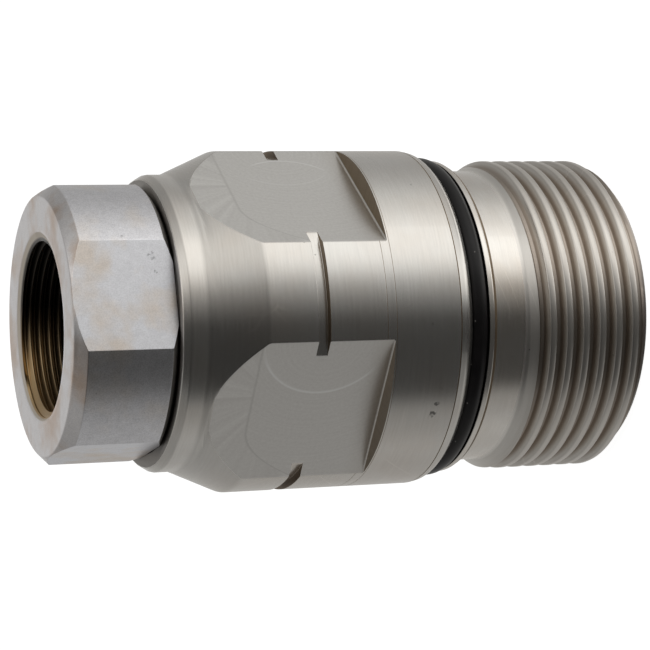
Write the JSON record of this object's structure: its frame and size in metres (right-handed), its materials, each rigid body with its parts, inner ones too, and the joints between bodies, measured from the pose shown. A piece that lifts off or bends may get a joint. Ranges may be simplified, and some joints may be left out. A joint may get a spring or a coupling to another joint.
{
  "type": "screw-to-connect hydraulic coupler half",
  "caption": "Male half of a flat-face screw-to-connect hydraulic coupling: swivelling threaded sleeve with wrench flats around a core with an octagonal hose port and a sprung poppet.",
  "frame": {"origin": "centre of the threaded end face, on which the coupler stands", "axes": "+Z along the coupling axis, from the threaded end up to the octagonal hose end"},
  "size_m": [0.0798, 0.0798, 0.1374],
  "materials": {
    "turned_steel": "satin turned and milled zinc-nickel plated steel",
    "adapter_steel": "satin, lightly blasted plated steel",
    "hardened_steel": "ground hardened steel",
    "spring_steel": "oiled spring wire",
    "bronze": "turned bearing bronze",
    "black_rubber": "moulded nitrile rubber",
    "white_ptfe": "cut PTFE",
    "green_polyurethane": "moulded polyurethane",
    "brown_phenolic": "fabric-filled phenolic strip"
  },
  "bodies": {
    "sleeve": {"threaded_sleeve": "turned_steel", "collar_seal": "black_rubber"},
    "core": {"port_adapter": "adapter_steel", "valve_body": "turned_steel", "body_seal": "black_rubber", "body_backup_ring": "white_ptfe", "upper_thrust_washer": "bronze", "lower_thrust_washer": "bronze", "sleeve_wear_ring": "brown_phenolic", "dust_seal": "black_rubber", "poppet_guide": "turned_steel", "guide_bush": "bronze", "snap_ring": "spring_steel", "spring_seat": "hardened_steel", "main_spring": "spring_steel"},
    "poppet_unit": {"poppet": "turned_steel", "poppet_cap": "hardened_steel", "poppet_seal": "green_polyurethane", "relief_spring": "spring_steel"},
    "relief_valve": {"relief_pin": "hardened_steel", "relief_seal": "black_rubber"}
  },
  "joints": [
    {"name": "sleeve_swivel", "type": "hinge", "parent": "sleeve", "child": "core", "pos_m": [0, 0, 0.084], "axis": [0, 0, 1], "continuous": true},
    {"name": "poppet_slide", "type": "slide", "parent": "core", "child": "poppet_unit", "axis": [0, 0, 1], "range_m": [0, 0.011], "stiffness_N_per_m": 4500, "springref_m": -0.01, "deforming": ["main_spring"]},
    {"name": "relief_slide", "type": "slide", "parent": "poppet_unit", "child": "relief_valve", "axis": [0, 0, 1], "range_m": [0, 0.002], "stiffness_N_per_m": 800, "springref_m": -0.005, "deforming": ["relief_spring"]}
  ]
}
